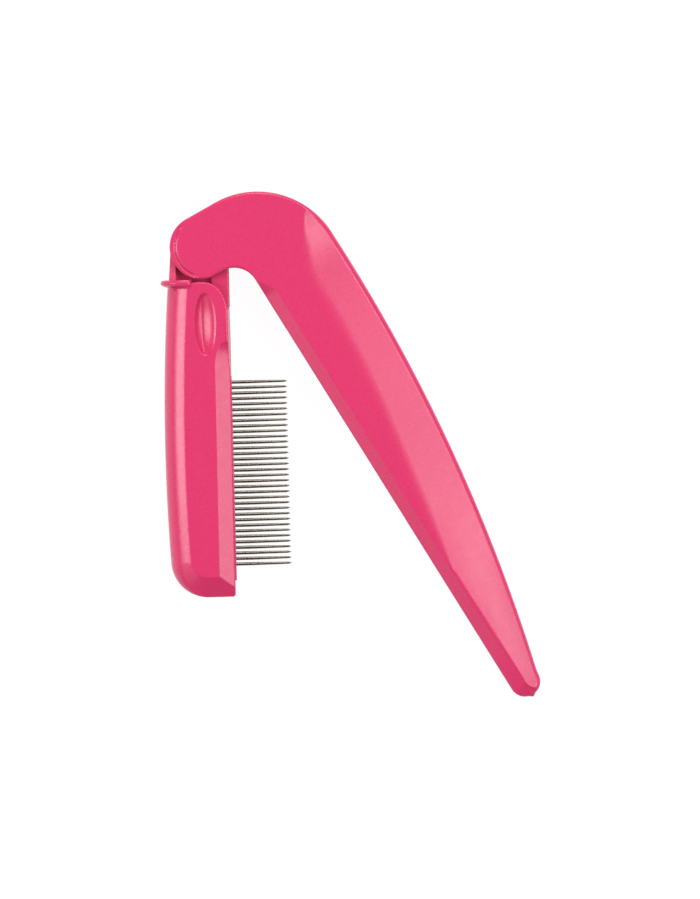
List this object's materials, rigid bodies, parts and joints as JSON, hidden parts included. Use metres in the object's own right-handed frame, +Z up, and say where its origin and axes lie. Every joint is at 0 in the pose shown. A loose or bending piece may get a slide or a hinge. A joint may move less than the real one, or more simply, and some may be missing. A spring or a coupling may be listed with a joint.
{
  "type": "folding eyelash comb",
  "caption": "Folding eyelash comb: a curved, tapering plastic handle, forked at its hinge and slotted along its inner edge, and a comb head of fine steel needles that folds into it.",
  "frame": {"origin": "on the axis of the hinge, in the flat underside of the handle's lower cheek, which is the surface that the comb lies on", "axes": "+Z up along the hinge axis, out of the side that the picture shows; -Y along the comb head, which hangs from the hinge half open; +X towards the handle's tip, which points down and to the right"},
  "size_m": [0.0608, 0.0808, 0.009],
  "materials": {
    "handle_plastic": "satin, pink moulded plastic",
    "head_plastic": "satin, pink moulded plastic",
    "bar_plastic": "satin, pink moulded plastic",
    "pin_steel": "plain turned steel, hidden in the hinge",
    "needle_steel": "drawn and ground steel"
  },
  "bodies": {
    "handle": {"handle": "handle_plastic", "hinge_pin": "pin_steel"},
    "comb_head": {"comb_head": "head_plastic", "tooth_bar": "bar_plastic", "needle_01": "needle_steel", "needle_02": "needle_steel", "needle_03": "needle_steel", "needle_04": "needle_steel", "needle_05": "needle_steel", "needle_06": "needle_steel", "needle_07": "needle_steel", "needle_08": "needle_steel", "needle_09": "needle_steel", "needle_10": "needle_steel", "needle_11": "needle_steel", "needle_12": "needle_steel", "needle_13": "needle_steel", "needle_14": "needle_steel", "needle_15": "needle_steel", "needle_16": "needle_steel", "needle_17": "needle_steel", "needle_18": "needle_steel", "needle_19": "needle_steel", "needle_20": "needle_steel", "needle_21": "needle_steel", "needle_22": "needle_steel", "needle_23": "needle_steel", "needle_24": "needle_steel", "needle_25": "needle_steel", "needle_26": "needle_steel", "needle_27": "needle_steel", "needle_28": "needle_steel", "needle_29": "needle_steel", "needle_30": "needle_steel", "needle_31": "needle_steel", "needle_32": "needle_steel", "needle_33": "needle_steel", "needle_34": "needle_steel"}
  },
  "joints": [
    {"name": "comb_fold", "type": "hinge", "parent": "handle", "child": "comb_head", "pos_m": [0, 0, 0.0045], "axis": [0, 0, 1], "range_deg": [-149.4, 30.1]}
  ]
}
